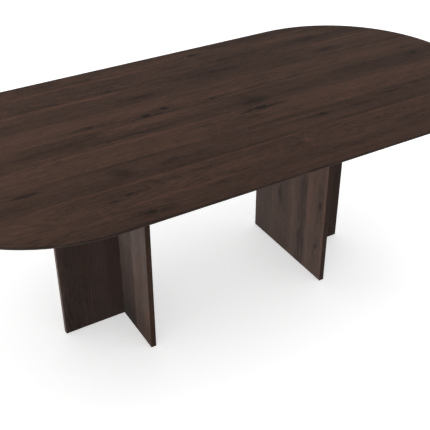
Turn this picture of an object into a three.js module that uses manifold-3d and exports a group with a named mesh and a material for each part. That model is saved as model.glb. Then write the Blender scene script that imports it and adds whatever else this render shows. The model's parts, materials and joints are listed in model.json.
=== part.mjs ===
// Conference table in dark-stained oak: a long top with half-round ends on two T-shaped panel legs.
// Millimetres, +Z up, +X along the table. The origin is on the floor below the middle of the top.
import * as THREE from 'three';
import { mergeVertices, toCreasedNormals } from 'three/addons/utils/BufferGeometryUtils.js';
import Module from 'manifold-3d';

const wasm = await Module();
wasm.setup();

// Tabletop
const tableHeight = 750;
const topLength = 2200;
const topThickness = 25;
const topBoardWidths = [112, 112, 116, 119, 116, 120, 125, 132, 78]; // from the front edge to the back
const edgeHeight = 7; // upright edge, under which the underside slopes away
const edgeBevelRun = 60;
const arris = 1; // rounding of the edges that show

// Legs: a cross panel, with a stem panel standing out from its middle towards the end of the table
const legReach = 385; // middle of the table to a cross panel's outer face
const panelThickness = 20;
const legBoardWidth = 117;
const crossBoardCount = 4;
const stemBoardCount = 2;
const tongueThickness = 10;
const tongueDepth = 8;

// Steel plate on top of each leg, let into the underside of the top
const plateThickness = 5;
const plateRadius = 8; // corners of its outline
const plateInset = 20; // from the free ends of the panels
const plateBoltEdge = 16; // bolt axis to the plate's long edges
const pocketGap = 0.5; // around the plate in its pocket

// Bolts and threaded inserts between the plates and the top
const boltDiameter = 8;
const boltFlangeDiameter = 17.5;
const boltFlangeHeight = 1.4;
const boltHeadDiameter = 13;
const boltCrownDiameter = 9; // flat top of the rounded head
const boltHeadHeight = 4.4; // with its flange
const boltSocketSize = 5; // across the flats
const boltSocketDepth = 2.6;
const boltHoleGap = 0.5; // around a bolt in its plate
const boltSlotTravel = 4; // lets the top move across the grain
const boltTipGap = 2; // bolt's tip to the end of its insert
const boltPanelOffset = 19; // bolt axis to the face of the panel beside it
const crossBoltSpacing = 280; // between the two bolts beside a cross panel
const stemBoltInset = 25; // from the stem end of the plate
const insertDiameter = 12;
const insertLength = 13;

// Countersunk screws from the plates into the top edges of the panels
const screwDiameter = 7;
const screwHeadDiameter = 12;
const screwHeadHeight = 3;
const screwLength = 55; // with its head
const screwTipDiameter = 5;
const screwTipLength = 3;
const crossScrewSpacing = 320;
const stemScrewInset = 75; // from the stem's free end

// Steel channel across the underside, between the legs
const channelWidth = 40;
const channelDepth = 12;
const channelWall = 2.5;
const channelInset = 35; // its ends stop short of the sloping underside
const channelScrewSpacing = 480;
const channelScrewDiameter = 5;
const channelScrewHeadDiameter = 11;
const channelScrewCrownDiameter = 6.5;
const channelScrewHeadHeight = 3;
const channelScrewRimHeight = 1;
const channelScrewPoint = 5; // length of the tapered tip
const channelScrewGrip = 15; // in the top, above the channel
const channelSlotTravel = 4;

// Levelling glides in the bottom edges of the panels
const glideDiameter = 14;
const glideHeight = 5;
const glideReveal = 2; // stands out below the panel when screwed home
const glideRounding = 1.2;
const glideSeatGap = 0.6; // around the foot in the panel
const glideSlotWidth = 1.6;
const glideSlotDepth = 0.9;
const glideInset = 40; // from the free ends of the panels
const glideTravel = 10;
const studDiameter = 6;
const studTail = 2; // thread left above the insert at full travel
const glideInsertDiameter = 10;
const glideInsertLength = 13;

// Shared by the fasteners and the pieces that are cut to take one another
const fitGap = 0.3;
const tipChamfer = 1; // on the ends of bolts and studs

// Smoothness of round forms
const endSteps = 96;
const smallSteps = 16;
const hiddenSteps = 12;
const arcSteps = 2;
const cutMargin = 1; // cutters run past the faces that they cut

// Sizes that follow from the ones above
const sum = (values) => values.reduce((total, value) => total + value, 0);
const topWidth = sum(topBoardWidths);
const endRadius = topWidth / 2;
const underside = tableHeight - topThickness;
const crossWidth = crossBoardCount * legBoardWidth;
const stemEnd = legReach + stemBoardCount * legBoardWidth;
const panelMiddle = legReach - panelThickness / 2;
const panelHeight = underside - glideReveal;
const plateTop = underside + plateThickness;
const plateHalfArm = panelThickness / 2 + boltPanelOffset + plateBoltEdge;
const plateStemEnd = stemEnd - plateInset;
const studLength = glideInsertLength + glideTravel + studTail;
const channelLength = topWidth - 2 * (edgeBevelRun + channelInset);

// Places on one leg, in plan
const bothSides = (x, y) => [[x, -y], [x, y]];
const slottedBoltSpots = bothSides(legReach - panelThickness - boltPanelOffset, crossBoltSpacing / 2);
const roundBoltSpots = bothSides(plateStemEnd - stemBoltInset, panelThickness / 2 + boltPanelOffset);
const boltSpots = [...slottedBoltSpots, ...roundBoltSpots];
const screwSpots = [...bothSides(panelMiddle, crossScrewSpacing / 2), [stemEnd - stemScrewInset, 0]];
const glideSpots = [...bothSides(panelMiddle, crossWidth / 2 - glideInset), [stemEnd - glideInset, 0]];
const channelScrewSpots = bothSides(0, channelScrewSpacing / 2);

// The two legs are alike: the left one is turned half a turn about the table's middle.
const legs = [{ side: 'right', turn: 0 }, { side: 'left', turn: Math.PI }];

// Turns a closed geometry into a solid that can be cut and joined.
function solidOf(geometry) {
  const bare = geometry.index ? geometry.toNonIndexed() : geometry.clone();
  bare.deleteAttribute('normal');
  bare.deleteAttribute('uv');
  const merged = mergeVertices(bare, 1e-4);
  const corners = merged.index.array;
  const triangles = [];
  for (let i = 0; i < corners.length; i += 3) {
    const [a, b, c] = corners.slice(i, i + 3);
    if (a !== b && b !== c && c !== a) triangles.push(a, b, c);
  }
  const vertProperties = merged.attributes.position.array;
  const triVerts = new Uint32Array(triangles);
  return new wasm.Manifold(new wasm.Mesh({ numProp: 3, vertProperties, triVerts }));
}

// Turns a solid into a named mesh.
function pieceOf(name, solid, material) {
  const { vertProperties, triVerts } = solid.getMesh();
  const geometry = new THREE.BufferGeometry();
  geometry.setAttribute('position', new THREE.BufferAttribute(vertProperties, 3));
  geometry.setIndex(new THREE.BufferAttribute(triVerts, 1));
  const mesh = new THREE.Mesh(toCreasedNormals(geometry, Math.PI / 6), material);
  mesh.name = name;
  return mesh;
}

const cutAll = (solid, cutters) => cutters.reduce((left, cutter) => left.subtract(cutter), solid);

// A block between two opposite corners.
function block(low, high) {
  const size = high.map((value, i) => value - low[i]);
  const middle = high.map((value, i) => (value + low[i]) / 2);
  return solidOf(new THREE.BoxGeometry(...size).translate(...middle));
}

// A path through corners [x, y, radius], with each corner rounded by its radius.
function roundedPath(corners, path, closed) {
  corners.forEach(([x, y, radius = 0], i) => {
    const corner = new THREE.Vector2(x, y);
    const isEnd = !closed && (i === 0 || i === corners.length - 1);
    if (!radius || isEnd) {
      if (i === 0) path.moveTo(x, y);
      else path.lineTo(x, y);
      return;
    }
    const [fromX, fromY] = corners[(i + corners.length - 1) % corners.length];
    const [toX, toY] = corners[(i + 1) % corners.length];
    const arriving = new THREE.Vector2(x - fromX, y - fromY).normalize();
    const leaving = new THREE.Vector2(toX - x, toY - y).normalize();
    const turn = Math.atan2(arriving.cross(leaving), arriving.dot(leaving));
    const tangent = radius * Math.tan(Math.abs(turn) / 2);
    const start = corner.clone().addScaledVector(arriving, -tangent);
    const inward = new THREE.Vector2(-arriving.y, arriving.x).multiplyScalar(Math.sign(turn));
    const centre = start.clone().addScaledVector(inward, radius);
    const startAngle = Math.atan2(-inward.y, -inward.x);
    if (i === 0) path.moveTo(start.x, start.y);
    else path.lineTo(start.x, start.y);
    path.absarc(centre.x, centre.y, radius, startAngle, startAngle + turn, turn < 0);
  });
  return path;
}

// A solid turned about the Z axis, from points [radius, height] that run from axis to axis or close.
function turned(profile, steps = smallSteps) {
  const points = profile.map(([radius, height]) => new THREE.Vector2(radius, height));
  return solidOf(new THREE.LatheGeometry(points, steps).rotateX(Math.PI / 2));
}

// A round hole, or a slot along Y when it has travel, between two heights.
function slotCutter([x, y], from, to, diameter, travel = 0) {
  const outline = new THREE.Shape();
  const radius = diameter / 2;
  outline.absarc(0, -travel / 2, radius, -Math.PI, 0);
  outline.absarc(0, travel / 2, radius, 0, Math.PI);
  const options = { depth: to - from, bevelEnabled: false, curveSegments: smallSteps / 4 };
  return solidOf(new THREE.ExtrudeGeometry(outline, options).translate(x, y, from));
}

// A flat panel, width by height on its face and centred, with all its face edges eased.
function easedPanel(width, height, thickness) {
  const outline = new THREE.Shape();
  roundedPath(
    [[-width / 2, -height / 2], [width / 2, -height / 2], [width / 2, height / 2], [-width / 2, height / 2]],
    outline,
    true,
  );
  const depth = thickness - 2 * arris;
  const bevel = { bevelThickness: arris, bevelSize: arris, bevelOffset: -arris, bevelSegments: arcSteps };
  return new THREE.ExtrudeGeometry(outline, { depth, ...bevel }).translate(0, 0, -depth / 2);
}

// Saws a panel into boards, along planes square to X (axis 0) or Y (axis 1), from a first edge onwards.
function ripBoards(panel, axis, firstEdge, widths) {
  const box = panel.boundingBox();
  let edge = firstEdge;
  return widths.map((width, i) => {
    const low = box.min.map((value) => value - cutMargin);
    const high = box.max.map((value) => value + cutMargin);
    if (i > 0) low[axis] = edge;
    edge += width;
    if (i < widths.length - 1) high[axis] = edge;
    return panel.intersect(block(low, high));
  });
}

// Materials, with the colours of the photographed finish
const boardTones = [0x44362f, 0x4b3b33, 0x3f332d, 0x48382f];

function oak(tone) {
  return new THREE.MeshStandardMaterial({ color: boardTones[tone % boardTones.length], roughness: 0.45 });
}

const zincSteel = () => new THREE.MeshStandardMaterial({ color: 0xa8aaac, roughness: 0.4, metalness: 1 });
const brass = () => new THREE.MeshStandardMaterial({ color: 0xb59a5b, roughness: 0.4, metalness: 1 });
const blackSteel = () => new THREE.MeshStandardMaterial({ color: 0x1b1b1c, roughness: 0.55, metalness: 0.6 });
const nylon = () => new THREE.MeshStandardMaterial({ color: 0x161616, roughness: 0.6 });

// Half of the top's cross-section, from the middle of the underside round the edge to the middle of the top
function edgeCorners() {
  return [
    [0, underside],
    [endRadius - edgeBevelRun, underside],
    [endRadius, tableHeight - edgeHeight, arris],
    [endRadius, tableHeight, arris],
    [0, tableHeight],
  ];
}

// The whole top: a revolved disc for each half-round end, and the same section run between them
function topBlank() {
  const straight = topLength - topWidth;
  const profile = roundedPath(edgeCorners(), new THREE.Path(), false).getPoints(arcSteps);
  const disc = new THREE.LatheGeometry(profile, endSteps).rotateX(Math.PI / 2);
  const ends = [-1, 1].map((side) => solidOf(disc.clone().translate((side * straight) / 2, 0, 0)));

  const right = edgeCorners().slice(1, -1);
  const left = right.map(([y, z, radius]) => [-y, z, radius]).reverse();
  const section = roundedPath([...right, ...left], new THREE.Shape(), true);
  const options = { depth: straight, bevelEnabled: false, curveSegments: arcSteps };
  const middle = new THREE.ExtrudeGeometry(section, options);
  middle.rotateX(Math.PI / 2).rotateZ(Math.PI / 2).translate(-straight / 2, 0, 0);
  return ends.reduce((joined, end) => joined.add(end), solidOf(middle));
}

// The T-shaped plate, or with a gap the pocket that takes it
function plateSolid(gap, from, to) {
  const convex = plateRadius + gap;
  const reflex = plateRadius - gap;
  const crossHalf = crossWidth / 2 - plateInset + gap;
  const arm = plateHalfArm + gap;
  const inner = panelMiddle - arm;
  const outer = panelMiddle + arm;
  const outline = roundedPath(
    [
      [inner, -crossHalf, convex],
      [outer, -crossHalf, convex],
      [outer, -arm, reflex],
      [plateStemEnd + gap, -arm, convex],
      [plateStemEnd + gap, arm, convex],
      [outer, arm, reflex],
      [outer, crossHalf, convex],
      [inner, crossHalf, convex],
    ],
    new THREE.Shape(),
    true,
  );
  const options = { depth: to - from, bevelEnabled: false, curveSegments: arcSteps };
  return solidOf(new THREE.ExtrudeGeometry(outline, options).translate(0, 0, from));
}

// The channel's U section, flanges up; with a gap, the grooves that take it
function channelSolid(gap) {
  const half = channelWidth / 2;
  const outer = half + gap;
  const inner = half - channelWall - gap;
  const flangeTop = channelDepth + gap;
  const outline = roundedPath(
    [
      [-outer, gap ? -cutMargin : 0],
      [outer, gap ? -cutMargin : 0],
      [outer, flangeTop],
      [inner, flangeTop],
      [inner, channelWall],
      [-inner, channelWall],
      [-inner, flangeTop],
      [-outer, flangeTop],
    ],
    new THREE.Shape(),
    true,
  );
  const length = channelLength + 2 * gap;
  const run = new THREE.ExtrudeGeometry(outline, { depth: length, bevelEnabled: false });
  return solidOf(run.rotateX(Math.PI / 2).translate(0, length / 2, underside));
}

// What the legs and the channel need cut into the top
function topCuts() {
  const legCuts = [
    plateSolid(pocketGap, underside - cutMargin, plateTop),
    ...boltSpots.map((spot) => {
      const mouth = plateTop - cutMargin;
      return slotCutter(spot, mouth, plateTop + insertLength + fitGap, insertDiameter + 2 * fitGap);
    }),
  ];
  const channelHoleTop = underside + channelWall + channelScrewGrip + fitGap;
  const channelHoles = channelScrewSpots.map((spot) =>
    slotCutter(spot, underside - cutMargin, channelHoleTop, channelScrewDiameter + 2 * fitGap),
  );
  const turnedCuts = legs.flatMap(({ turn }) =>
    legCuts.map((cut) => cut.rotate([0, 0, THREE.MathUtils.radToDeg(turn)])),
  );
  return [...turnedCuts, channelSolid(fitGap), ...channelHoles];
}

function addTop(table) {
  const panel = cutAll(topBlank(), topCuts());
  ripBoards(panel, 1, -topWidth / 2, topBoardWidths).forEach((board, i) => {
    table.add(pieceOf(`top_board_${i + 1}`, board, oak(i)));
  });
}

function addStiffener(table) {
  const slotDiameter = channelScrewDiameter + 2 * fitGap;
  const from = underside - cutMargin;
  const to = underside + channelWall + cutMargin;
  const slots = channelScrewSpots.map((spot) => slotCutter(spot, from, to, slotDiameter, channelSlotTravel));
  table.add(pieceOf('stiffener_channel', cutAll(channelSolid(0), slots), blackSteel()));

  const radius = channelScrewDiameter / 2;
  const headRadius = channelScrewHeadDiameter / 2;
  const tip = channelWall + channelScrewGrip;
  const screw = turned([
    [0, -channelScrewHeadHeight],
    [channelScrewCrownDiameter / 2, -channelScrewHeadHeight],
    [headRadius, -channelScrewRimHeight],
    [headRadius, 0],
    [radius, 0],
    [radius, tip - channelScrewPoint],
    [0, tip],
  ]);
  channelScrewSpots.forEach(([x, y]) => {
    const mesh = pieceOf(`channel_screw_${y < 0 ? 'front' : 'back'}`, screw, zincSteel());
    mesh.position.set(x, y, underside);
    table.add(mesh);
  });
}

// Holes up into the panels for the glides and their inserts, and down into them for the plate's screws
function panelHoles() {
  const seat = glideHeight + fitGap;
  const insertTop = seat + glideInsertLength + fitGap;
  const studTop = glideHeight + studLength + fitGap;
  const glideHoles = glideSpots.flatMap((spot) => [
    slotCutter(spot, 0, seat, glideDiameter + 2 * glideSeatGap),
    slotCutter(spot, 0, insertTop, glideInsertDiameter + 2 * fitGap),
    slotCutter(spot, 0, studTop, studDiameter + 2 * fitGap),
  ]);
  const screwTip = plateTop - screwLength - fitGap;
  const screwHoles = screwSpots.map((spot) =>
    slotCutter(spot, screwTip, underside + cutMargin, screwDiameter + 2 * fitGap),
  );
  return [...glideHoles, ...screwHoles];
}

function addPanels(leg, side) {
  const middleHeight = glideReveal + panelHeight / 2;
  const holes = panelHoles();

  const cross = easedPanel(crossWidth, panelHeight, panelThickness);
  cross.rotateX(Math.PI / 2).rotateZ(Math.PI / 2).translate(panelMiddle, 0, middleHeight);
  const grooveHalf = tongueThickness / 2 + fitGap;
  const groove = block(
    [legReach - tongueDepth - fitGap, -grooveHalf, 0],
    [legReach + cutMargin, grooveHalf, tableHeight],
  );
  const crossWidths = new Array(crossBoardCount).fill(legBoardWidth);
  const crossPanel = cutAll(solidOf(cross), [groove, ...holes]);
  ripBoards(crossPanel, 1, -crossWidth / 2, crossWidths).forEach((board, i) => {
    leg.add(pieceOf(`${side}_cross_board_${i + 1}`, board, oak(i)));
  });

  const stemBlank = easedPanel(stemEnd - legReach + tongueDepth, panelHeight, panelThickness);
  stemBlank.rotateX(Math.PI / 2).translate((stemEnd + legReach - tongueDepth) / 2, 0, middleHeight);
  const shoulders = [-1, 1].map((half) => {
    const near = (half * tongueThickness) / 2;
    const far = half * (panelThickness / 2 + cutMargin);
    return block(
      [legReach - tongueDepth - cutMargin, Math.min(near, far), 0],
      [legReach, Math.max(near, far), tableHeight],
    );
  });
  const stemWidths = new Array(stemBoardCount).fill(legBoardWidth);
  const stemPanel = cutAll(solidOf(stemBlank), [...shoulders, ...holes]);
  ripBoards(stemPanel, 0, legReach, stemWidths).forEach((board, i) => {
    leg.add(pieceOf(`${side}_stem_board_${i + 1}`, board, oak(i + 1)));
  });
}

function addPlate(leg, side) {
  const from = underside - cutMargin;
  const to = plateTop + cutMargin;
  const holeDiameter = boltDiameter + 2 * boltHoleGap;
  const headRadius = screwHeadDiameter / 2 + fitGap;
  const countersink = turned([
    [0, -screwHeadHeight],
    [screwDiameter / 2 + fitGap, -screwHeadHeight],
    [headRadius, 0],
    [headRadius, cutMargin],
    [0, cutMargin],
  ]);
  const cuts = [
    ...slottedBoltSpots.map((spot) => slotCutter(spot, from, to, holeDiameter, boltSlotTravel)),
    ...roundBoltSpots.map((spot) => slotCutter(spot, from, to, holeDiameter)),
    ...screwSpots.map((spot) => slotCutter(spot, from, to, screwDiameter + 2 * fitGap)),
    ...screwSpots.map(([x, y]) => countersink.translate([x, y, plateTop])),
  ];
  leg.add(pieceOf(`${side}_mount_plate`, cutAll(plateSolid(0, underside, plateTop), cuts), blackSteel()));
}

// Puts copies of one solid at plan spots, at one height.
function addCopies(leg, name, solid, material, spots, height) {
  spots.forEach(([x, y], i) => {
    const mesh = pieceOf(`${name}_${i + 1}`, solid, material());
    mesh.position.set(x, y, height);
    leg.add(mesh);
  });
}

// A sleeve standing on height 0, for the thread of a given diameter
function insertSolid(outerDiameter, threadDiameter, length) {
  const outer = outerDiameter / 2;
  const bore = threadDiameter / 2 + fitGap;
  return turned([[bore, 0], [outer, 0], [outer, length], [bore, length], [bore, 0]], hiddenSteps);
}

// Flanged button-head bolt, head down, with its bearing face at height 0
function boltSolid() {
  const tip = plateThickness + insertLength - boltTipGap;
  const radius = boltDiameter / 2;
  const headRadius = boltHeadDiameter / 2;
  const flangeRadius = boltFlangeDiameter / 2;
  const body = turned([
    [0, -boltHeadHeight],
    [boltCrownDiameter / 2, -boltHeadHeight],
    [headRadius, -(boltHeadHeight + boltFlangeHeight) / 2],
    [headRadius, -boltFlangeHeight],
    [flangeRadius, -boltFlangeHeight],
    [flangeRadius, 0],
    [radius, 0],
    [radius, tip - tipChamfer],
    [radius - tipChamfer, tip],
    [0, tip],
  ]);
  const socketRadius = boltSocketSize / Math.sqrt(3);
  const socketHeight = boltSocketDepth + cutMargin;
  const socket = new THREE.CylinderGeometry(socketRadius, socketRadius, socketHeight, 6).rotateX(Math.PI / 2);
  socket.translate(0, 0, boltSocketDepth - boltHeadHeight - socketHeight / 2);
  return body.subtract(solidOf(socket));
}

// Countersunk screw, head up, with the head's top at height 0
function screwSolid() {
  const radius = screwDiameter / 2;
  const profile = [
    [0, -screwLength],
    [screwTipDiameter / 2, -screwLength],
    [radius, screwTipLength - screwLength],
    [radius, -screwHeadHeight],
    [screwHeadDiameter / 2, 0],
    [0, 0],
  ];
  return turned(profile, hiddenSteps);
}

// Levelling glide: a round foot with a driver slot below, and a stud above
function glideSolid() {
  const footRadius = glideDiameter / 2;
  const studRadius = studDiameter / 2;
  const studTop = glideHeight + studLength;
  const profile = roundedPath(
    [
      [0, 0],
      [footRadius, 0, glideRounding],
      [footRadius, glideHeight],
      [studRadius, glideHeight],
      [studRadius, studTop - tipChamfer],
      [studRadius - tipChamfer, studTop],
      [0, studTop],
    ],
    new THREE.Path(),
    false,
  );
  const points = profile.getPoints(arcSteps).map(({ x, y }) => [x, y]);
  const slot = block(
    [-footRadius, -glideSlotWidth / 2, -cutMargin],
    [footRadius, glideSlotWidth / 2, glideSlotDepth],
  );
  return turned(points).subtract(slot);
}

function buildLeg({ side, turn }) {
  const leg = new THREE.Group();
  leg.rotation.z = turn;
  const topInsert = insertSolid(insertDiameter, boltDiameter, insertLength);
  const glideInsert = insertSolid(glideInsertDiameter, studDiameter, glideInsertLength);
  addPanels(leg, side);
  addPlate(leg, side);
  addCopies(leg, `${side}_panel_screw`, screwSolid(), zincSteel, screwSpots, plateTop);
  addCopies(leg, `${side}_top_insert`, topInsert, brass, boltSpots, plateTop);
  addCopies(leg, `${side}_plate_bolt`, boltSolid(), blackSteel, boltSpots, underside);
  addCopies(leg, `${side}_glide_insert`, glideInsert, brass, glideSpots, glideHeight + fitGap);
  addCopies(leg, `${side}_glide`, glideSolid(), nylon, glideSpots, 0);
  return leg;
}

const table = new THREE.Group();
addTop(table);
addStiffener(table);
legs.forEach((leg) => table.add(buildLeg(leg)));

export default table;
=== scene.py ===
import json
import math

import bmesh
import bpy
from mathutils import Matrix, Vector


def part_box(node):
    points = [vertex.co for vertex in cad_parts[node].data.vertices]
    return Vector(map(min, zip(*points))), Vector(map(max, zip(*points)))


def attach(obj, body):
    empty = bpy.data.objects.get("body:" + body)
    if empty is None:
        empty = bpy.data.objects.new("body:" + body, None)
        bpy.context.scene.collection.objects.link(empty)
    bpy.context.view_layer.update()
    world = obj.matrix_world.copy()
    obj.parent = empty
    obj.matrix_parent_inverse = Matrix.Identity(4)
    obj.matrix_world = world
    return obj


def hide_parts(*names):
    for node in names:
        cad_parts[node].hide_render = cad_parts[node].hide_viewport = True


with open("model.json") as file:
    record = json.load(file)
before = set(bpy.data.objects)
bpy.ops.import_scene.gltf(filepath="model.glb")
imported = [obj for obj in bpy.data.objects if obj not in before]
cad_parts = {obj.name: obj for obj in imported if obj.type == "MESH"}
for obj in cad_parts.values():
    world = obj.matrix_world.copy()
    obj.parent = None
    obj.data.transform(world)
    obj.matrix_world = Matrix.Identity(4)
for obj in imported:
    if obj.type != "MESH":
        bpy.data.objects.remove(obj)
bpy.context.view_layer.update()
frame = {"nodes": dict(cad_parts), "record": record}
nodes = frame["nodes"]
print("frame loaded:", len(nodes), "nodes")


# small helpers for objects and meshes
def addObject(name, data):
    thing = bpy.data.objects.new(name, data)
    bpy.context.scene.collection.objects.link(thing)
    return thing


def meshFrom(name, shape):
    mesh = bpy.data.meshes.new(name)
    shape.to_mesh(mesh)
    shape.free()
    return mesh


# turns a camera or a lamp to look that way
def lookAlong(thing, way):
    thing.rotation_euler = way.to_track_quat("-Z", "Y").to_euler()


# camera, found by fitting the table's outlines in the photograph
cameraSetup = {
    "place": (-1.2853, -2.1894, 2.0167),
    "yaw": 30.81,          # degrees from +Y towards +X
    "pitch": 33.937,       # degrees below level
    "lens": 67.53,         # mm
    "sensorWidth": 36.0,   # mm
}


def makeCamera(setup):
    yaw = math.radians(setup["yaw"])
    pitch = math.radians(setup["pitch"])
    data = bpy.data.cameras.new("tableCamera")
    data.lens = setup["lens"]
    data.sensor_width = setup["sensorWidth"]
    camera = addObject("tableCamera", data)
    camera.location = setup["place"]
    level = math.cos(pitch)
    lookAlong(camera, Vector((math.sin(yaw) * level, math.cos(yaw) * level, -math.sin(pitch))))
    bpy.context.scene.camera = camera


makeCamera(cameraSetup)
print("camera placed")


# small helpers for node trees; a value is a number, a tuple or another node's socket
def addNode(tree, kind, inputs=None, **settings):
    node = tree.nodes.new(kind)
    for name, value in settings.items():
        setattr(node, name, value)
    for socket, value in (inputs or {}).items():
        if isinstance(value, bpy.types.NodeSocket):
            tree.links.new(value, node.inputs[socket])
        else:
            node.inputs[socket].default_value = value
    return node


def mathNode(tree, operation, *values):
    return addNode(tree, "ShaderNodeMath", dict(enumerate(values)), operation=operation).outputs[0]


def vectorNode(tree, operation, *values):
    return addNode(tree, "ShaderNodeVectorMath", dict(enumerate(values)), operation=operation).outputs[0]


def splitNode(tree, vector):
    return addNode(tree, "ShaderNodeSeparateXYZ", {0: vector}).outputs


def joinNode(tree, parts):
    return addNode(tree, "ShaderNodeCombineXYZ", parts).outputs[0]


def rangeNode(tree, value, start, end=(0.0, 1.0), smooth=True):
    inputs = {"Value": value, "From Min": start[0], "From Max": start[1], "To Min": end[0], "To Max": end[1]}
    kind = "SMOOTHSTEP" if smooth else "LINEAR"
    return addNode(tree, "ShaderNodeMapRange", inputs, interpolation_type=kind).outputs["Result"]


def mixNode(tree, share, first, second):
    return addNode(tree, "ShaderNodeMix", {0: share, 2: first, 3: second}).outputs[0]


def mixColours(tree, share, first, second, blend="MIX"):
    inputs = {0: share, 6: first, 7: second}
    return addNode(tree, "ShaderNodeMix", inputs, data_type="RGBA", blend_type=blend).outputs[2]


def noiseNode(tree, vector, stretch, detail=2.0, roughness=0.5, output="Fac"):
    scaled = vectorNode(tree, "MULTIPLY", vector, stretch)
    inputs = {"Vector": scaled, "Scale": 1.0, "Detail": detail, "Roughness": roughness}
    return addNode(tree, "ShaderNodeTexNoise", inputs).outputs[output]


def squaresNode(tree, first, second):
    squares = [mathNode(tree, "POWER", value, 2.0) for value in (first, second)]
    return mathNode(tree, "ADD", *squares)


# 1 in the middle, falling softly to 0
def bellNode(tree, along, across):
    return mathNode(tree, "EXPONENT", mathNode(tree, "MULTIPLY", squaresNode(tree, along, across), -1.0))


def newGroup(name, inputs, outputs):
    tree = bpy.data.node_groups.new(name, "ShaderNodeTree")
    for label, value in inputs.items():
        kind = "NodeSocketVector" if isinstance(value, tuple) else "NodeSocketFloat"
        tree.interface.new_socket(label, in_out="INPUT", socket_type=kind).default_value = value
    for label, kind in outputs.items():
        tree.interface.new_socket(label, in_out="OUTPUT", socket_type=f"NodeSocket{kind}")
    return tree, tree.nodes.new("NodeGroupInput").outputs, tree.nodes.new("NodeGroupOutput").inputs


def useGroup(tree, group, inputs):
    return addNode(tree, "ShaderNodeGroup", inputs, node_tree=group).outputs


def srgb(red, green, blue):
    def linear(level):
        level = level / 255.0
        return level / 12.92 if level <= 0.04045 else ((level + 0.055) / 1.055) ** 2.4
    return (linear(red), linear(green), linear(blue), 1.0)


def newMaterial(name):
    material = bpy.data.materials.new(name)
    material.use_nodes = True
    material.node_tree.nodes.clear()
    return material, material.node_tree


def finishMaterial(tree, shader):
    addNode(tree, "ShaderNodeOutputMaterial", {"Surface": shader.outputs[0]})


def wear(nodeName, material):
    mesh = nodes[nodeName].data
    mesh.materials.clear()
    mesh.materials.append(material)


# how far a spot is from a knot's or patch's middle, in its own length and width, with a wavering outline;
# the grain's x is along the board, y across and z through it
def fromMiddle(tree, given, length, width, waver):
    part = splitNode(tree, vectorNode(tree, "SUBTRACT", given["Grain"], given["Place"]))
    warp = splitNode(tree, given["Warp"])
    along = mathNode(tree, "MULTIPLY_ADD", warp[0], waver[0], mathNode(tree, "DIVIDE", part[0], length))
    across = mathNode(tree, "MULTIPLY_ADD", warp[1], waver[1], mathNode(tree, "DIVIDE", part[1], width))
    return part, along, across


# oak knot: parts the grain and darkens it; each reach is along and across the grain, in knot sizes
oakKnot = {
    "waver": (2.5, 1.2),
    "partReach": (4.5, 2.6),
    "parting": 0.75,
    "heartReach": (1.7, 0.95),
    "heartTear": 1.3,              # how much the ragged noise tears the heart's outline
    "heartRange": (0.98, 1.32),
    "trailReach": (6.5, 1.2),
    "trailNoise": (0.35, 0.62),
    "trailShade": (0.05, 0.75),
}


def makeKnotGroup(knot):
    tree, given, out = newGroup(
        "oakKnot",
        {"Grain": (0, 0, 0), "Warp": (0, 0, 0), "Ragged": 0.5, "Level": 0.0, "Place": (0, 0, 0),
         "Size": 0.012, "Amount": 0.8},
        {"Grain": "Vector", "Level": "Float"})
    part, along, across = fromMiddle(tree, given, given["Size"], given["Size"], knot["waver"])

    def fade(reach):
        shares = [mathNode(tree, "DIVIDE", way, size) for way, size in zip((along, across), reach)]
        return bellNode(tree, *shares)

    # grain lines part round the knot
    parting = mathNode(tree, "MULTIPLY", fade(knot["partReach"]), knot["parting"])
    bentAcross = mathNode(tree, "MULTIPLY", part[1], mathNode(tree, "SUBTRACT", 1.0, parting))
    bent = joinNode(tree, {0: part[0], 1: bentAcross, 2: part[2]})
    tree.links.new(vectorNode(tree, "ADD", bent, given["Place"]), out["Grain"])

    # ragged dark heart, and a softer shade that trails along the grain
    torn = mathNode(tree, "MULTIPLY_ADD", given["Ragged"], knot["heartTear"], fade(knot["heartReach"]))
    heart = rangeNode(tree, torn, knot["heartRange"])
    streaks = rangeNode(tree, given["Ragged"], knot["trailNoise"], knot["trailShade"])
    trail = mathNode(tree, "MULTIPLY", fade(knot["trailReach"]), streaks)
    shade = mathNode(tree, "MULTIPLY", mathNode(tree, "MAXIMUM", heart, trail), given["Amount"])
    tree.links.new(mathNode(tree, "SUBTRACT", given["Level"], shade), out["Level"])
    return tree


# soft patch, longer along the grain, that lifts or lowers a value
grainPatch = {
    "waver": (1.3, 2.2),
    "tearNoise": (0.25, 0.75),
    "tear": (0.35, 1.3),
    "range": (0.05, 0.9),
}


def makePatchGroup(patch):
    tree, given, out = newGroup(
        "grainPatch",
        {"Grain": (0, 0, 0), "Warp": (0, 0, 0), "Ragged": 0.5, "Value": 0.0, "Place": (0, 0, 0),
         "Length": 0.1, "Width": 0.02, "Amount": 0.3},
        {"Value": "Float"})
    along, across = fromMiddle(tree, given, given["Length"], given["Width"], patch["waver"])[1:]
    tear = rangeNode(tree, given["Ragged"], patch["tearNoise"], patch["tear"])
    torn = rangeNode(tree, mathNode(tree, "MULTIPLY", bellNode(tree, along, across), tear), patch["range"])
    tree.links.new(mathNode(tree, "MULTIPLY_ADD", torn, given["Amount"], given["Value"]), out["Value"])
    return tree


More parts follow.
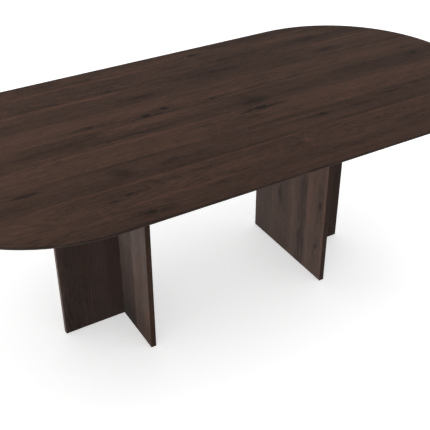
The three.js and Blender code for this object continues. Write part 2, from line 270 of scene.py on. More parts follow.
# dark-stained oak; shades are added to a level that runs from deep (0) to pale (1)
oakFinish = {
    "deep": srgb(34, 27, 23),
    "dark": srgb(49, 36, 31),
    "middle": srgb(62, 46, 38),
    "pale": srgb(82, 58, 48),
    "red": srgb(85, 59, 50),
    "stops": [(0.0, "deep"), (0.28, "dark"), (0.55, "middle"), (1.0, "pale")],
    "level": 0.512,
    "topGloss": 0.010,
    "legGloss": 0.035,
    "legSheen": 0.07,
    "sheenRoughness": 0.4,
    "roughness": (0.38, 0.54),
    "bump": 0.25,
    "bumpDepth": 0.0003,
    # painted light: the top's lighter, greyer edges and ends; the legs' edges are darker
    "topEdge": 0.28,               # shade and greyness of the edges and ends
    "topEdgeGrey": 0.4,
    "legEdge": -0.24,
    "legEdgeGrey": 0.07,
    "broadRange": (0.2, 0.8),      # how squarely a face looks out of the board where edge turns to broad face
    "seamShade": -0.27,            # fine dark line at each glued joint, and the metres over which it ends
    "seamReach": (0.0001, 0.0007),
    # painted shade: a dark line along the top's upper rim
    "rimPaintedShade": -0.22,             # dark line along the top's upper rim, inwards and down from it
    "rimInward": (0.006, 0.0009),
    "rimDown": (0.0036, 0.0006),
}

oakGrain = {
    "rings": {                     # growth rings round a wandering pith, in metres
        "width": 0.0065,
        "wanderStretch": (0.9, 2.5, 2.5),
        "wanderNoise": (0.2, 0.8),
        "wander": (-0.05, 0.05),
        "rippleStretch": (7, 34, 34),
        "ripple": 0.012,
        "sharpness": 2.5,
        "shade": -0.13,
    },
    # streaks and mottle from broad to fine: noise's stretch along and across, detail, roughness, shade,
    # and whether it is weaker in calm stretches of the board
    "figure": [
        (0.9, 20, 3, 0.55, 0.58, False),
        (3.2, 95, 4, 0.62, 0.28, True),
        (3.5, 8, 4, 0.6, 0.45, False),
        (13, 52, 4, 0.6, 0.36, True),
        (34, 100, 3, 0.65, 0.42, False),
        (110, 230, 2, 0.6, 0.42, False),
    ],
    "calm": {"stretch": (1.8, 8, 8), "noise": (0.36, 0.64), "strength": (0.3, 1.35)},
    "fibres": {"stretch": (22, 620, 620), "shade": 0.16, "height": 0.5},
    "pores": {"stretch": (60, 1500, 1500), "noise": (0.62, 0.72), "stain": 0.45, "dulling": 0.5,
              "height": -0.6},
    "dull": (0.2, 1.2),            # fibres and dulling pores together, from smoothest to roughest
}


def makeOakGroup(finish, grain):
    rings, calmSetup, fibreSetup, poreSetup = (grain[key] for key in ("rings", "calm", "fibres", "pores"))
    tree, given, out = newGroup(
        "stainedOak",
        {"Grain": (0, 0, 0), "Level": 0.0, "Pale": 0.0, "Grey": 0.0, "Contrast": 1.0, "Seed": (0, 0, 0),
         "Pith": (0, 0, -0.1)},
        {"Color": "Color", "Roughness": "Float", "Height": "Float"})
    shifted = vectorNode(tree, "ADD", given["Grain"], given["Seed"])

    wander = rangeNode(tree, noiseNode(tree, shifted, rings["wanderStretch"]),
                       rings["wanderNoise"], rings["wander"], smooth=False)
    ripple = noiseNode(tree, shifted, rings["rippleStretch"], detail=3, roughness=0.6)
    toPith = splitNode(tree, vectorNode(tree, "SUBTRACT", given["Grain"], given["Pith"]))
    depth = mathNode(tree, "ADD", toPith[2], wander)
    radius = mathNode(tree, "SQRT", squaresNode(tree, toPith[1], depth))
    radius = mathNode(tree, "ADD", radius, mathNode(tree, "MULTIPLY", ripple, rings["ripple"]))
    ring = mathNode(tree, "FRACT", mathNode(tree, "DIVIDE", radius, rings["width"]))

    # pores crowd the start of each ring
    fibres = noiseNode(tree, shifted, fibreSetup["stretch"], roughness=0.6)
    pores = rangeNode(tree, noiseNode(tree, shifted, poreSetup["stretch"], detail=1), poreSetup["noise"])
    pores = mathNode(tree, "MULTIPLY", pores, mathNode(tree, "SUBTRACT", 1.0, ring))
    calm = noiseNode(tree, shifted, calmSetup["stretch"])
    calm = rangeNode(tree, calm, calmSetup["noise"], calmSetup["strength"])

    figure = mathNode(tree, "MULTIPLY", mathNode(tree, "SUBTRACT", fibres, 0.5), fibreSetup["shade"])
    layers = []
    for along, across, detail, roughness, weight, calmed in grain["figure"]:
        layers.append((noiseNode(tree, shifted, (along, across, across), detail, roughness), weight, calmed))
    layers.append((mathNode(tree, "POWER", ring, rings["sharpness"]), rings["shade"], True))
    for layer, weight, calmed in layers:
        strength = mathNode(tree, "MULTIPLY", calm, weight) if calmed else weight
        figure = mathNode(tree, "MULTIPLY_ADD", mathNode(tree, "SUBTRACT", layer, 0.5), strength, figure)

    level = mathNode(tree, "ADD", given["Level"], finish["level"])
    level = mathNode(tree, "MULTIPLY_ADD", figure, given["Contrast"], level)
    ramp = addNode(tree, "ShaderNodeValToRGB", {"Fac": level})
    elements = ramp.color_ramp.elements
    for i, (place, key) in enumerate(finish["stops"]):
        stop = elements[i] if i < 2 else elements.new(place)    # a new ramp has two
        stop.position = place
        stop.color = finish[key]
    warm = mixColours(tree, given["Pale"], ramp.outputs["Color"], finish["red"])
    colour = mixColours(tree, mathNode(tree, "MULTIPLY", pores, poreSetup["stain"]), warm, finish["deep"])
    strength = mathNode(tree, "SUBTRACT", 1.0, given["Grey"])
    faded = addNode(tree, "ShaderNodeHueSaturation", {"Saturation": strength, "Color": colour})
    tree.links.new(faded.outputs[0], out["Color"])

    dull = mathNode(tree, "MULTIPLY_ADD", pores, poreSetup["dulling"], fibres)
    tree.links.new(rangeNode(tree, dull, grain["dull"], finish["roughness"]), out["Roughness"])
    raised = mathNode(tree, "MULTIPLY", fibres, fibreSetup["height"])
    tree.links.new(mathNode(tree, "MULTIPLY_ADD", pores, poreSetup["height"], raised), out["Height"])
    return tree


knotGroup = makeKnotGroup(oakKnot)
patchGroup = makePatchGroup(grainPatch)
oakGroup = makeOakGroup(oakFinish, oakGrain)

# which of X, Y, Z runs along, across and through each kind of board
grainAxes = {"top": (0, 1, 2), "cross": (2, 1, 0), "stem": (2, 0, 1)}

# noise that tears and warps the outlines of knots and patches, and that swirls the grain
boardNoise = {"ragged": (17, 130, 130), "warp": (14, 45, 45), "eddy": (13, 26, 26)}


# painted shade: the rim's dark line, on the broad face and down the edge, with the edge face darker towards
# its top and lighter towards its foot
def addPaintedRimShade(tree, axis, outline, seam, edge):
    toEnd, toSide, upper = outline
    shade = oakFinish["rimPaintedShade"]
    inward = tuple(toSide - reach for reach in oakFinish["rimInward"])
    down = tuple(upper - reach for reach in oakFinish["rimDown"])
    past = mathNode(tree, "SUBTRACT", mathNode(tree, "ABSOLUTE", axis[0]), toEnd)
    past = mathNode(tree, "MAXIMUM", past, 0.0)
    outwards = mathNode(tree, "SQRT", squaresNode(tree, past, axis[1]))
    seam = mathNode(tree, "MINIMUM", seam, rangeNode(tree, outwards, inward, (0.0, shade)))
    return seam, rangeNode(tree, axis[2], down, (edge, shade))


# in metres: patches, pale strips, greys and swirls are (along, across, length, width, amount), and knots
# are (along, across, size, amount); fades, of painted light and shade, are (axis, low, high, shade at low,
# shade at high), and dull is (low, high, roughness at low)
def makeOak(name, kind, settings):
    material, tree = newMaterial(name)
    spot = addNode(tree, "ShaderNodeTexCoord").outputs["Object"]
    axis = splitNode(tree, spot)
    order = grainAxes[kind]
    side = "top" if kind == "top" else "leg"
    straight = joinNode(tree, {i: axis[order[i]] for i in range(3)})
    shifted = vectorNode(tree, "ADD", straight, settings["seed"])
    ragged = noiseNode(tree, shifted, boardNoise["ragged"], detail=4, roughness=0.6)
    drift = noiseNode(tree, shifted, boardNoise["warp"], detail=3, roughness=0.6, output="Color")
    warp = vectorNode(tree, "SUBTRACT", drift, (0.5, 0.5, 0.5))

    def addPatches(key, value):
        for along, across, length, width, amount in settings.get(key, ()):
            value = useGroup(tree, patchGroup, {
                "Grain": straight, "Warp": warp, "Ragged": ragged, "Value": value,
                "Place": (along, across, 0), "Length": length, "Width": width, "Amount": amount})["Value"]
        return value

    # swirls push the grain lines to and fro across the board
    grain = straight
    if "swirls" in settings:
        eddy = mathNode(tree, "SUBTRACT", noiseNode(tree, shifted, boardNoise["eddy"]), 0.5)
        push = mathNode(tree, "MULTIPLY", eddy, addPatches("swirls", 0.0))
        grain = vectorNode(tree, "ADD", straight, joinNode(tree, {1: push}))

    # edges and ends are shaded apart from the broad faces: the top's are lighter and greyer, as painted
    # light; the legs' are darker
    facing = splitNode(tree, addNode(tree, "ShaderNodeNewGeometry").outputs["True Normal"])
    broad = rangeNode(tree, mathNode(tree, "ABSOLUTE", facing[order[2]]), oakFinish["broadRange"])
    fromMid = mathNode(tree, "ABSOLUTE", mathNode(tree, "SUBTRACT", axis[order[1]], settings["middle"]))
    toSeam = mathNode(tree, "SUBTRACT", settings["half"], fromMid)
    face = rangeNode(tree, toSeam, oakFinish["seamReach"], (oakFinish["seamShade"], 0.0))
    edge = settings.get("edge", oakFinish[side + "Edge"])
    if kind == "top":
        face, edge = addPaintedRimShade(tree, axis, settings["outline"], face, edge)
    # painted light and shade: each of these fades lightens or darkens the broad faces along one axis
    for way, low, high, atLow, atHigh in settings.get("paintedShading", ()):
        fade = rangeNode(tree, axis[way], (low, high), (atLow, atHigh), smooth=False)
        face = mathNode(tree, "ADD", face, fade)
    level = mathNode(tree, "ADD", addPatches("patches", settings["tone"]), mixNode(tree, broad, edge, face))

    for along, across, size, amount in settings.get("knots", ()):
        knot = useGroup(tree, knotGroup, {
            "Grain": grain, "Warp": warp, "Ragged": ragged, "Level": level, "Place": (along, across, 0),
            "Size": size, "Amount": amount})
        grain, level = knot["Grain"], knot["Level"]

    greyFace = addPatches("greys", settings.get("grey", 0.0))
    oak = useGroup(tree, oakGroup, {
        "Grain": grain, "Level": level, "Pale": addPatches("pale", 0.0),
        "Grey": mixNode(tree, broad, oakFinish[side + "EdgeGrey"], greyFace),
        "Contrast": settings.get("contrast", 1.0), "Seed": settings["seed"], "Pith": settings["pith"]})
    rough = oak["Roughness"]
    if "dull" in settings:
        low, high, footRough = settings["dull"]
        rough = mathNode(tree, "MAXIMUM", rough, rangeNode(tree, axis[2], (low, high), (footRough, 0.0)))
    bump = addNode(tree, "ShaderNodeBump", {
        "Strength": oakFinish["bump"], "Distance": oakFinish["bumpDepth"], "Height": oak["Height"]})
    shader = addNode(tree, "ShaderNodeBsdfPrincipled", {
        "Base Color": oak["Color"], "Roughness": rough, "Normal": bump.outputs[0],
        "Specular IOR Level": oakFinish[side + "Gloss"], "Sheen Roughness": oakFinish["sheenRoughness"],
        "Sheen Weight": 0.0 if kind == "top" else oakFinish["legSheen"]})
    finishMaterial(tree, shader)
    return material


# boards of the top, front to back
topBoards = [
    {"tone": -0.06,
     "pale": [(-0.4, -0.409, 0.3, 0.008, 0.43), (0.35, -0.408, 0.15, 0.007, 0.43)],
     "patches": [(-0.44, -0.48, 0.07, 0.012, -0.16), (0.3, -0.45, 0.2, 0.02, -0.08),
                 (0.35, -0.422, 0.25, 0.02, 0.1), (-0.1, -0.46, 0.2, 0.02, -0.07),
                 (0.4, -0.495, 0.2, 0.02, -0.09)],
     "knots": [(-0.465, -0.468, 0.011, 0.4), (-0.21, -0.43, 0.008, 0.31)],
     "swirls": [(0.6, -0.445, 0.2, 0.05, 0.12), (0.2, -0.43, 0.16, 0.03, 0.09)]},
    {"tone": -0.01, "contrast": 1.15,
     "pale": [(-0.55, -0.298, 0.36, 0.011, 0.3), (0.3, -0.296, 0.6, 0.008, 0.38)],
     "patches": [(-0.35, -0.33, 0.07, 0.012, -0.16), (0.5, -0.32, 0.3, 0.025, 0.2),
                 (0.05, -0.345, 0.16, 0.03, -0.1), (-0.15, -0.38, 0.2, 0.025, -0.1),
                 (-0.78, -0.375, 0.1, 0.025, -0.12), (0.42, -0.385, 0.12, 0.02, 0.14)],
     "knots": [(-0.48, -0.351, 0.011, 0.4), (-0.54, -0.367, 0.008, 0.35), (0.12, -0.362, 0.022, 0.12)],
     "swirls": [(0.18, -0.37, 0.2, 0.045, 0.14), (0.55, -0.36, 0.1, 0.03, 0.08)]},
    {"tone": -0.08,
     "pale": [(0.22, -0.207, 0.2, 0.008, 0.4), (0.1, -0.222, 0.12, 0.005, 0.27)],
     "patches": [(-0.4, -0.179, 0.25, 0.006, -0.24), (-0.757, -0.205, 0.07, 0.011, -0.40),
                 (-0.45, -0.232, 0.045, 0.035, -0.29), (-0.25, -0.24, 0.1, 0.012, -0.3),
                 (0.47, -0.225, 0.07, 0.006, -0.28), (0.63, -0.203, 0.07, 0.008, -0.32),
                 (0.78, -0.19, 0.06, 0.007, -0.32), (0.22, -0.235, 0.16, 0.03, 0.11),
                 (0.12, -0.195, 0.12, 0.01, 0.16), (0.5, -0.265, 0.3, 0.02, 0.07)],
     "knots": [(0.32, -0.224, 0.010, 0.47)]},
    {"tone": 0.09, "contrast": 1.2,
     "pale": [(-0.32, -0.060, 0.45, 0.008, 0.55), (0.6, -0.060, 0.4, 0.006, 0.39)],
     "patches": [(0.115, -0.079, 0.06, 0.004, -0.7), (0.12, -0.118, 0.06, 0.004, -0.32),
                 (-0.06, -0.095, 0.06, 0.018, -0.16), (0.25, -0.14, 0.15, 0.012, -0.10),
                 (0.07, -0.13, 0.12, 0.035, -0.12), (0.55, -0.13, 0.2, 0.035, -0.08),
                 (0.95, -0.09, 0.08, 0.03, 0.16), (-0.2, -0.16, 0.12, 0.015, 0.08),
                 (-0.74, -0.07, 0.1, 0.015, 0.2), (0.38, -0.13, 0.1, 0.02, -0.12),
                 (0.7, -0.1, 0.12, 0.015, -0.1)],
     "knots": [(0.168, -0.073, 0.017, 0.85)]},
    {"tone": -0.05,
     "patches": [(-0.55, 0.01, 0.16, 0.03, -0.16), (-0.43, 0.035, 0.06, 0.018, -0.20),
                 (-0.2, 0.035, 0.24, 0.025, 0.28), (-0.3, -0.026, 0.15, 0.008, -0.28),
                 (0.175, -0.015, 0.055, 0.035, -0.40), (0.75, 0.02, 0.3, 0.04, -0.15),
                 (0.95, 0.02, 0.05, 0.03, -0.15), (0.37, -0.015, 0.14, 0.03, -0.15),
                 (-0.02, -0.04, 0.12, 0.018, -0.14), (-0.75, -0.03, 0.1, 0.03, 0.16)]},
    {"tone": 0.06,
     "patches": [(-0.12, 0.064, 0.2, 0.004, -0.40), (-0.55, 0.14, 0.28, 0.04, 0.12),
                 (0.7, 0.12, 0.18, 0.03, 0.10), (-0.35, 0.166, 0.3, 0.016, 0.1),
                 (0.85, 0.162, 0.18, 0.018, 0.11), (0.25, 0.075, 0.25, 0.018, -0.2)],
     "knots": [(-0.42, 0.087, 0.009, 0.47), (-0.21, 0.076, 0.015, 0.55), (-0.128, 0.09, 0.012, 0.42),
               (0.052, 0.075, 0.008, 0.47), (0.96, 0.087, 0.011, 0.39)]},
    {"tone": -0.035,
     "pale": [(-0.42, 0.295, 0.36, 0.013, 0.58), (0.75, 0.297, 0.24, 0.012, 0.51)],
     "patches": [(-0.165, 0.218, 0.06, 0.016, -0.28), (0.2, 0.268, 0.14, 0.018, -0.26),
                 (0.69, 0.23, 0.07, 0.023, -0.28), (-0.6, 0.265, 0.12, 0.04, 0.17),
                 (0.85, 0.22, 0.15, 0.04, -0.1)]},
    {"tone": -0.12, "contrast": 1.2,
     "pale": [(-0.25, 0.426, 0.5, 0.013, 0.55), (0.4, 0.431, 0.2, 0.009, 0.2)],
     "patches": [(0.66, 0.37, 0.1, 0.028, -0.20), (0.28, 0.355, 0.05, 0.012, -0.20),
                 (0.6, 0.40, 0.35, 0.04, 0.06), (0.72, 0.322, 0.22, 0.028, -0.12),
                 (-0.45, 0.345, 0.25, 0.03, 0.09), (-0.55, 0.425, 0.12, 0.02, 0.2)]},
    {"tone": -0.075, "contrast": 1.6,
     "patches": [(-0.42, 0.477, 0.12, 0.025, -0.12), (-0.31, 0.447, 0.07, 0.012, -0.2),
                 (-0.15, 0.495, 0.5, 0.035, 0.16), (0.5, 0.455, 0.25, 0.03, -0.12)],
     "knots": [(0.18, 0.45, 0.012, 0.70)]},
]

# boards of the legs; the pale strips run the whole height
# painted light and shade on the left stem: darker towards the floor and towards its outer end, lighter
# towards the corner where the cross panel meets it
leftStemPaintedShading = [(2, 0, 0.5, -0.04, 0), (0, -0.62, -0.5, -0.11, 0), (0, -0.53, -0.385, 0, 0.34)]
legBoards = {
    "right_cross_board_1": {
        "tone": 0.32, "edge": -0.31, "grey": 0.14,
        # painted shade: the patch at along 0.05 darkens this board towards the floor, and the grey there
        # makes it greyer
        "greys": [(0.05, -0.175, 0.25, 0.2, 0.1)],
        # painted highlight: the thin pale strip near the front edge stands for light along that arris
        "pale": [(0.36, -0.225, 0.6, 0.006, 0.8)],
        "patches": [(0.36, -0.135, 0.6, 0.012, 0.1), (0.05, -0.175, 0.25, 0.2, -0.09)],
        "knots": [(0.34, -0.2, 0.013, 0.65), (0.145, -0.19, 0.012, 0.5)]},
    "right_cross_board_2": {
        "tone": 0.19, "grey": 0.15,
        # painted shade: the patch at along 0.05 darkens this board towards the floor, and the grey there
        # makes it greyer
        "greys": [(0.05, -0.06, 0.25, 0.2, 0.1)],
        "patches": [(0.36, -0.092, 0.6, 0.027, -0.46), (0.05, -0.06, 0.25, 0.2, -0.09)]},
    "right_cross_board_3": {"tone": 0.02, "grey": 0.15, "knots": [(0.26, 0.059, 0.010, 0.65)]},
    "right_cross_board_4": {"tone": -0.13, "grey": 0.22},
    "left_cross_board_1": {"tone": 0.08, "grey": 0.15},
    "left_cross_board_2": {"tone": 0.0, "grey": 0.1},
    # painted light on left cross boards 3 and 4: the greys paint a grey sheen on their upper part, and the
    # fade along the height is painted shade, darker towards the floor
    "left_cross_board_3": {
        "tone": 0.16,
        "greys": [(0.58, -0.06, 0.46, 0.2, 0.46)],
        "paintedShading": [(2, 0.02, 0.4, -0.72, 0)],
        "dull": (0.06, 0.36, 1.0)},
    "left_cross_board_4": {
        "tone": 0.40, "edge": -0.33,
        "greys": [(0.58, -0.17, 0.46, 0.2, 0.54)],
        "paintedShading": [(2, 0.03, 0.31, -0.47, 0)],
        "dull": (0.05, 0.34, 0.95)},
    "right_stem_board_1": {"tone": 0.02, "grey": 0.15, "knots": [(0.42, 0.45, 0.009, 0.5)]},
    "right_stem_board_2": {"tone": -0.01, "grey": 0.16},
    "left_stem_board_1": {"tone": 0.16, "contrast": 1.05, "grey": 0.35, "paintedShading": leftStemPaintedShading},
    "left_stem_board_2": {
        "tone": 0.16, "contrast": 1.05, "grey": 0.3, "paintedShading": leftStemPaintedShading,
        "pale": [(0.36, -0.613, 0.8, 0.007, 0.4)],
        "patches": [(0.75, -0.61, 0.5, 0.02, 0.3)],
        "knots": [(0.55, -0.55, 0.007, 0.4)]},
}

# how each board lies in its log: sideways sway of the pith from board to board, and the noise's own place
boardCut = {
    "top": {"sway": 0.09, "turn": 2.4, "start": 0.5, "seed": (0, 0, 0), "seedStep": (3.7, 1.9, 0.31)},
    "leg": {"sway": 0.08, "turn": 1.7, "start": 0.0, "seed": (31, 0, 0), "seedStep": (2.3, 1.3, 0.4)},
    "topPith": 0.66,        # metres above the floor, and how much lower on each of the next two boards
    "topPithStep": 0.02,
    "legPith": 0.07,        # metres outside the board
}


def cutBoard(cut, i, low, high, across, pith):
    middle = (low[across] + high[across]) / 2
    pithAcross = middle + cut["sway"] * math.sin(cut["turn"] * i + cut["start"])
    return {"seed": tuple(first + step * i for first, step in zip(cut["seed"], cut["seedStep"])),
            "pith": (0.0, pithAcross, pith), "middle": middle, "half": (high[across] - low[across]) / 2}


def dressBoards():
    corners = [corner for i in range(len(topBoards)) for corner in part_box(f"top_board_{i + 1}")]
    halfLength, halfWidth, upper = (max(corner[axis] for corner in corners) for axis in range(3))
    outline = (halfLength - halfWidth, halfWidth, upper)    # round end's middle and radius, upper face
    for i, settings in enumerate(topBoards):
        low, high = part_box(f"top_board_{i + 1}")
        pith = boardCut["topPith"] - boardCut["topPithStep"] * (i % 3)
        own = cutBoard(boardCut["top"], i, low, high, grainAxes["top"][1], pith)
        wear(f"top_board_{i + 1}",
             makeOak(f"oakTopBoard{i + 1}", "top", {**settings, **own, "outline": outline}))
    for i, (nodeName, settings) in enumerate(legBoards.items()):
        kind = nodeName.split("_")[1]
        low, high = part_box(nodeName)
        across, through = grainAxes[kind][1:]
        own = cutBoard(boardCut["leg"], i, low, high, across, low[through] - boardCut["legPith"])
        wear(nodeName, makeOak(f"oak_{nodeName}", kind, {**settings, **own}))


dressBoards()
print("oak boards dressed")


# black lacquered steel, zinc, brass and nylon for the hardware, by material slot
hardwareFinish = {
    "black_steel": {"name": "blackSteel", "colour": srgb(30, 30, 31), "metallic": 0.0,
                    "roughness": 0.5, "speckle": 900},
    "zinc_steel": {"name": "zincSteel", "colour": srgb(168, 170, 172), "metallic": 1.0,
                   "roughness": 0.38, "speckle": 700},
    "brass": {"name": "brassInsert", "colour": srgb(181, 154, 91), "metallic": 1.0,
              "roughness": 0.35, "speckle": 700},
    "nylon": {"name": "glideNylon", "colour": srgb(24, 24, 24), "metallic": 0.0,
              "roughness": 0.55, "speckle": 1200},
}
hardwareWear = {
    "blotch": 60,
    "blotchNoise": (0.25, 0.75),
    "shade": (0.8, 1.15),
    "gritNoise": (0.3, 0.7),
    "smoother": 0.06,
    "rougher": 0.08,
    "bump": 0.15,
    "bumpDepth": 0.0002,
}


def makeHardware(finish, wearing):
    material, tree = newMaterial(finish["name"])
    spot = addNode(tree, "ShaderNodeTexCoord").outputs["Object"]
    grit = noiseNode(tree, spot, (finish["speckle"],) * 3, detail=3)
    blotch = noiseNode(tree, spot, (wearing["blotch"],) * 3)
    shade = rangeNode(tree, blotch, wearing["blotchNoise"], wearing["shade"])
    bump = addNode(tree, "ShaderNodeBump", {
        "Strength": wearing["bump"], "Distance": wearing["bumpDepth"], "Height": grit})
    rough = (finish["roughness"] - wearing["smoother"], finish["roughness"] + wearing["rougher"])
    shader = addNode(tree, "ShaderNodeBsdfPrincipled", {
        "Base Color": mixColours(tree, 1.0, finish["colour"], shade, blend="MULTIPLY"),
        "Metallic": finish["metallic"], "Normal": bump.outputs[0],
        "Roughness": rangeNode(tree, grit, wearing["gritNoise"], rough)})
    finishMaterial(tree, shader)
    return material


slots = {part["node"]: part["material_slot"] for part in frame["record"]["subparts"]}
hardware = {slot: makeHardware(finish, hardwareWear) for slot, finish in hardwareFinish.items()}
for nodeName, slot in slots.items():
    if slot in hardware:
        wear(nodeName, hardware[slot])
print("hardware dressed")


# turned and threaded fasteners, in millimetres about their own axis, head or foot below;
# each starts from one end of its node's box, and its height 0 is raised from there
mm = 0.001
roundSides = 48
threadSides = 28
samePoint = 1e-7                  # metres
threadSamePoint = 1e-6
sharpAngle = math.radians(35)     # edges sharper than this aren't smoothed

plateBolt = {
    "profile": [(0, -4.4), (4.5, -4.4), (5.6, -4.1), (6.2, -3.55), (6.5, -2.9), (6.5, -1.4), (8.45, -1.4),
                (8.75, -1.1), (8.75, -0.15), (8.6, 0), (3.4, 0), (3.4, 1), (0, 1)],
    "thread": {"root": 3.35, "crest": 4.0, "pitch": 1.25, "low": 0.6, "high": 16, "point": 1, "tip": 0.78},
    "socket": {"sides": 6, "radius": 2.89, "low": -5, "high": -1.8},
    "end": "low",
    "raised": 4.4,
}
channelScrew = {
    "profile": [(0, -3), (3.2, -3), (4.5, -2.55), (5.25, -1.75), (5.5, -0.95), (5.5, -0.1), (5.4, 0),
                (1.9, 0), (1.9, 3.5), (0, 3.5)],
    "thread": {"root": 1.75, "crest": 2.5, "pitch": 1.8, "low": 3, "high": 17.5, "point": 5, "tip": 0.2},
    "cross": {"length": 6.0, "width": 1.2, "low": -3.4, "high": -1.0, "taper": 0.45},
    "end": "low",
    "raised": 3,
}
panelScrew = {
    "profile": [(0, 0), (5.9, 0), (6, 0.15), (6, 0.3), (3.4, 3), (2.6, 3.6), (2.6, 16), (0, 16)],
    "thread": {"root": 2.4, "crest": 3.5, "pitch": 3, "low": 15, "high": 55, "point": 7, "tip": 0.45},
    "cross": {"length": 6.2, "width": 1.2, "low": -0.4, "high": 2.2, "taper": 0.45},
    "end": "high",
}
topInsert = {
    "thread": {"root": 5.2, "crest": 6, "pitch": 2.5, "low": 0, "high": 13, "point": 2, "tip": 0.92},
    "socket": {"sides": roundSides, "radius": 4.3, "low": -1, "high": 14},
    "end": "low",
    "raised": 0,
}
glideInsert = {
    "thread": {"root": 4.3, "crest": 5, "pitch": 2.5, "low": 0, "high": 13, "point": 2, "tip": 0.92},
    "socket": {"sides": roundSides, "radius": 3.3, "low": -1, "high": 14},
    "end": "low",
    "raised": 0,
}
glide = {
    "profile": [(0, 0), (5.8, 0), (6.3, 0.12), (6.7, 0.4), (6.9, 0.8), (7, 1.2), (7, 4.5), (6.5, 5),
                (2.6, 5), (2.6, 6), (0, 6)],
    "thread": {"root": 2.45, "crest": 3, "pitch": 1, "low": 5.6, "high": 30, "point": 1, "tip": 0.7},
    "slot": {"length": 15, "width": 1.6, "low": -1, "high": 0.9},
    "end": "low",
    "raised": 0,
}


def drawLine(shape, places):
    points = [shape.verts.new((radius, 0, height)) for radius, height in places]
    return points + [shape.edges.new(pair) for pair in zip(points, points[1:])]


def lathe(profile):
    shape = bmesh.new()
    outline = drawLine(shape, [(radius * mm, height * mm) for radius, height in profile])
    bmesh.ops.spin(shape, geom=outline, axis=(0, 0, 1), cent=(0, 0, 0), angle=math.tau, steps=roundSides,
                   use_merge=True)
    bmesh.ops.remove_doubles(shape, verts=shape.verts, dist=samePoint)
    bmesh.ops.recalc_face_normals(shape, faces=shape.faces)
    return shape


# one pitch of the thread wound up past both ends, then cut square and closed
def windThread(setup):
    root, crest, pitch, low, high, point = (
        setup[key] * mm for key in ("root", "crest", "pitch", "low", "high", "point"))
    spare = 1.5    # pitches past each end
    start = low - spare * pitch
    turns = math.ceil((high - low) / pitch + 2 * spare)
    shape = bmesh.new()
    # radius, share of the pitch
    tooth = [(root, 0.0), (root, 0.22), (crest, 0.54), (crest, 0.68), (root, 1.0)]
    outline = drawLine(shape, [(radius, start + share * pitch) for radius, share in tooth])
    bmesh.ops.spin(shape, geom=outline, axis=(0, 0, 1), cent=(0, 0, 0), dvec=(0, 0, pitch / threadSides),
                   angle=math.tau * turns, steps=threadSides * turns)
    bmesh.ops.remove_doubles(shape, verts=shape.verts, dist=threadSamePoint)
    cuts = [(low, {"clear_inner": True}), (high - point, {}), (high, {"clear_outer": True})]
    for height, side in cuts:
        everything = shape.verts[:] + shape.edges[:] + shape.faces[:]
        bmesh.ops.bisect_plane(shape, geom=everything, dist=samePoint, plane_co=(0, 0, height),
                               plane_no=(0, 0, 1), **side)
    bmesh.ops.holes_fill(shape, edges=[edge for edge in shape.edges if edge.is_boundary], sides=0)
    for vert in shape.verts:    # draws the point in
        share = max(0.0, 1 - (high - vert.co.z) / point)
        vert.co.xy *= 1 - share * (1 - setup["tip"])
    bmesh.ops.recalc_face_normals(shape, faces=shape.faces)
    return shape


def makeBlock(length, width, setup):
    low, high = setup["low"], setup["high"]
    taper = setup.get("taper", 1.0)
    shape = bmesh.new()
    bmesh.ops.create_cube(shape, size=1.0)
    bmesh.ops.scale(shape, vec=(length * mm, width * mm, (high - low) * mm), verts=shape.verts)
    bmesh.ops.scale(shape, vec=(taper, taper, 1), verts=[vert for vert in shape.verts if vert.co.z > 0])
    bmesh.ops.translate(shape, vec=(0, 0, (low + high) / 2 * mm), verts=shape.verts)
    return shape


def makePrism(setup):
    low, high, radius = setup["low"], setup["high"], setup["radius"] * mm
    shape = bmesh.new()
    bmesh.ops.create_cone(shape, cap_ends=True, segments=setup["sides"], radius1=radius, radius2=radius,
                          depth=(high - low) * mm)
    bmesh.ops.translate(shape, vec=(0, 0, (low + high) / 2 * mm), verts=shape.verts)
    return shape


# joins or cuts one shape with another, and frees both
def combine(shape, tool, operation):
    things = [addObject("fastenerPart", meshFrom("fastenerPart", part)) for part in (shape, tool)]
    cut = things[0].modifiers.new("cut", "BOOLEAN")
    cut.operation = operation
    cut.object = things[1]
    cut.solver = "EXACT"
    done = bmesh.new()
    done.from_object(things[0], bpy.context.evaluated_depsgraph_get())
    for thing in things:
        mesh = thing.data
        bpy.data.objects.remove(thing)
        bpy.data.meshes.remove(mesh)
    bmesh.ops.dissolve_degenerate(done, edges=done.edges, dist=samePoint)
    return done


def makeFastener(setup):
    shape = windThread(setup["thread"])
    if "profile" in setup:
        shape = combine(lathe(setup["profile"]), shape, "UNION")
    cutters = []
    if "socket" in setup:    # an insert's goes right through it
        cutters.append(makePrism(setup["socket"]))
    if "slot" in setup:
        slot = setup["slot"]
        cutters.append(makeBlock(slot["length"], slot["width"], slot))
    if "cross" in setup:
        cross = setup["cross"]
        cutters.append(makeBlock(cross["length"], cross["width"], cross))
        cutters.append(makeBlock(cross["width"], cross["length"], cross))
    for cutter in cutters:
        shape = combine(shape, cutter, "DIFFERENCE")
    return shape


# by what stands in a node's name
fasteners = {
    "plate_bolt": plateBolt,
    "channel_screw": channelScrew,
    "panel_screw": panelScrew,
    "top_insert": topInsert,
    "glide_insert": glideInsert,
    "glide": glide,    # after glide_insert, which has this in its name too
}


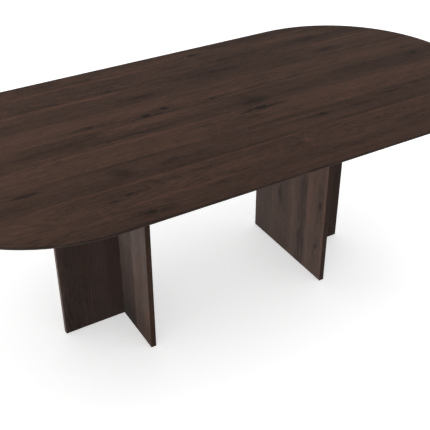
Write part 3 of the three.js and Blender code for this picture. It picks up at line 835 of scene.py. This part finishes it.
def placeFasteners():
    shapes = {kind: makeFastener(setup) for kind, setup in fasteners.items()}
    for nodeName, slot in slots.items():
        kind = next((kind for kind in fasteners if kind in nodeName), None)
        if not kind:
            continue
        setup = fasteners[kind]
        low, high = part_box(nodeName)
        shape = shapes[kind].copy()
        if setup["end"] == "low":
            base = low.z + setup["raised"] * mm
        else:    # head up
            base = high.z
            turned = Matrix.Rotation(math.pi, 3, "X")
            bmesh.ops.rotate(shape, matrix=turned, cent=(0, 0, 0), verts=shape.verts)
        bmesh.ops.translate(shape, vec=((low.x + high.x) / 2, (low.y + high.y) / 2, base), verts=shape.verts)
        mesh = meshFrom(f"{nodeName}_turned", shape)
        mesh.shade_smooth()
        mesh.set_sharp_from_angle(angle=sharpAngle)
        mesh.materials.append(hardware[slot])
        piece = addObject(f"{nodeName}_turned", mesh)
        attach(piece, nodeName if kind == "glide" else "table")
        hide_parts(nodeName)
    for shape in shapes.values():
        shape.free()


placeFasteners()
print("fasteners threaded and placed")


# white studio: even light all round, two soft lamps on the left, and a pale floor that keeps the shadow
studio = {
    "sky": 1.0,
    "floorReach": 12.0,     # metres
    "floorSeen": 0.83,      # floor's colour and its lift to white, as the camera and a gloss see it
    "floorLift": 0.472,
    "floorBounce": 0.32,    # floor's colour for the light it throws back on the table
    "lamps": {              # each lights the pieces whose names start with its last value
        "sideLight": {"place": (-2.6, 2.2, 0.5), "aim": (-0.1, 0, 0.55), "size": 1.6, "spread": 120,
                      "power": 66.0, "colour": (1, 1, 1), "lights": ""},
        "leftLight": {"place": (-2.2, -0.4, 1.7), "aim": (-0.6, 0, 0.75), "size": 1.4, "spread": 180,
                      "power": 16.0, "colour": (0.6, 0.85, 1), "lights": "top_board"},
    },
}


def makeWorld(setup):
    world = bpy.data.worlds.new("whiteStudio")
    bpy.context.scene.world = world
    world.use_nodes = True
    tree = world.node_tree
    tree.nodes.clear()
    sky = addNode(tree, "ShaderNodeBackground", {"Color": (1, 1, 1, 1), "Strength": setup["sky"]})
    addNode(tree, "ShaderNodeOutputWorld", {"Surface": sky.outputs[0]})


# lamps light the table only, so the floor shows an even shadow, and only the floor shades them
def makeLamps(setup):
    shading = bpy.data.collections.new("shadingLamps")
    shading.objects.link(bpy.data.objects["floor"])
    things = [thing for thing in bpy.data.objects if thing.type == "MESH" and thing.name != "floor"]
    for name, lampSetup in setup["lamps"].items():
        lit = bpy.data.collections.new(f"{name}Reach")
        for thing in things:
            if thing.name.startswith(lampSetup["lights"]):
                lit.objects.link(thing)
        data = bpy.data.lights.new(name, "AREA")
        data.shape = "SQUARE"
        data.size = lampSetup["size"]
        data.energy = lampSetup["power"]
        data.color = lampSetup["colour"]
        data.spread = math.radians(lampSetup["spread"])
        lamp = addObject(name, data)
        lamp.location = lampSetup["place"]
        lookAlong(lamp, Vector(lampSetup["aim"]) - Vector(lampSetup["place"]))
        lamp.visible_camera = False
        lamp.light_linking.receiver_collection = lit
        lamp.light_linking.blocker_collection = shading


def makeFloor(setup):
    shape = bmesh.new()
    bmesh.ops.create_grid(shape, x_segments=1, y_segments=1, size=setup["floorReach"])
    mesh = meshFrom("floor", shape)
    floor = addObject("floor", mesh)
    material, tree = newMaterial("paleFloor")
    path = addNode(tree, "ShaderNodeLightPath").outputs
    seen = mathNode(tree, "MAXIMUM", path["Is Camera Ray"], path["Is Transmission Ray"])
    seen = mathNode(tree, "MAXIMUM", seen, path["Is Glossy Ray"])
    shade = rangeNode(tree, seen, (0.0, 1.0), (setup["floorBounce"], setup["floorSeen"]), smooth=False)
    matt = addNode(tree, "ShaderNodeBsdfDiffuse", {"Color": shade})
    lift = mathNode(tree, "MULTIPLY", seen, setup["floorLift"])
    white = addNode(tree, "ShaderNodeEmission", {"Color": (1, 1, 1, 1), "Strength": lift})
    both = addNode(tree, "ShaderNodeAddShader", {0: matt.outputs[0], 1: white.outputs[0]})
    finishMaterial(tree, both)
    mesh.materials.append(material)


makeWorld(studio)
makeFloor(studio)
makeLamps(studio)
bpy.context.scene.view_settings.view_transform = "Standard"
print("studio ready")
